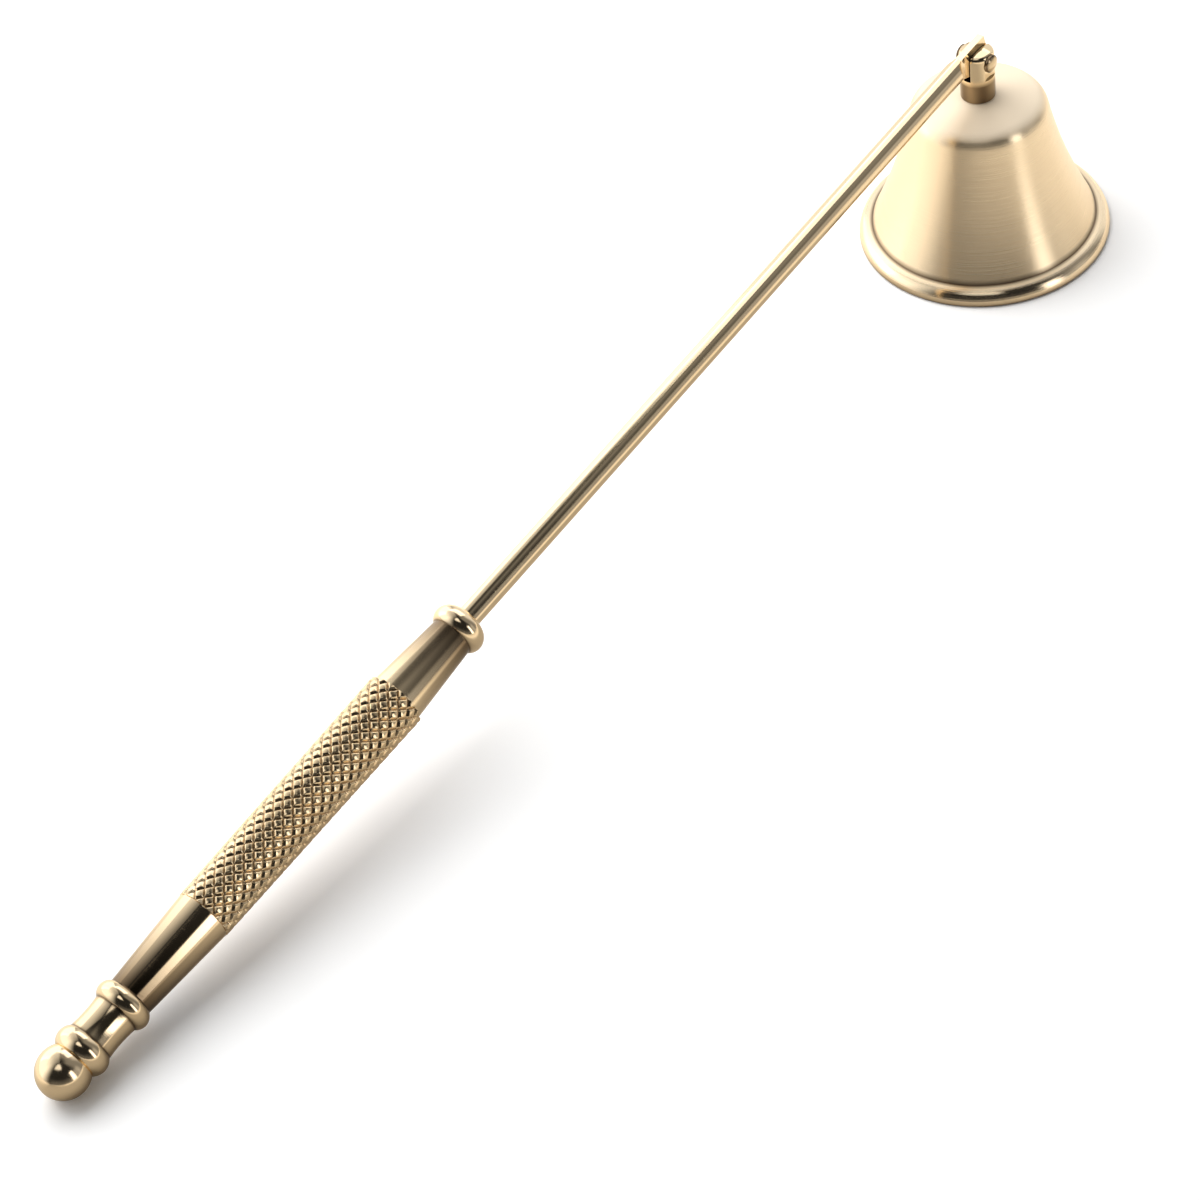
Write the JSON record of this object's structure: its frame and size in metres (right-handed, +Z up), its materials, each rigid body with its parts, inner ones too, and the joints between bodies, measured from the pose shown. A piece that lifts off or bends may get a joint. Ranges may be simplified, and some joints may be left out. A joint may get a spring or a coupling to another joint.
{
  "type": "candle snuffer",
  "caption": "Hinged candle snuffer: satin gold bell on a slotted fork, slim round stem and a turned handle with a diamond-knurled grip and a ball end.",
  "frame": {"origin": "middle of the footprint, on the surface that the bell's rim and the ball end rest on", "axes": "+X along the length from the ball end to the bell, +Z up, XZ is the plane of mirror symmetry"},
  "size_m": [0.218, 0.038, 0.035],
  "materials": {
    "satin_gold": "satin brushed champagne gold",
    "polished_gold": "polished champagne gold",
    "knurled_gold": "polished champagne gold, diamond knurled",
    "screw_steel": "plain zinc plated steel"
  },
  "bodies": {
    "bell": {"bell_cup": "satin_gold", "hinge_fork": "polished_gold", "fork_screw": "screw_steel", "fork_washer": "screw_steel", "hinge_rivet": "polished_gold"},
    "handle": {"stem_rod": "polished_gold", "front_ferrule": "polished_gold", "knurled_grip": "knurled_gold", "rear_ferrule": "polished_gold", "ball_finial": "polished_gold"}
  },
  "joints": [
    {"name": "stem_hinge", "type": "hinge", "parent": "bell", "child": "handle", "pos_m": [0.09001, 0, 0.0316], "axis": [0, 1, 0], "range_deg": [-22, 98]}
  ]
}
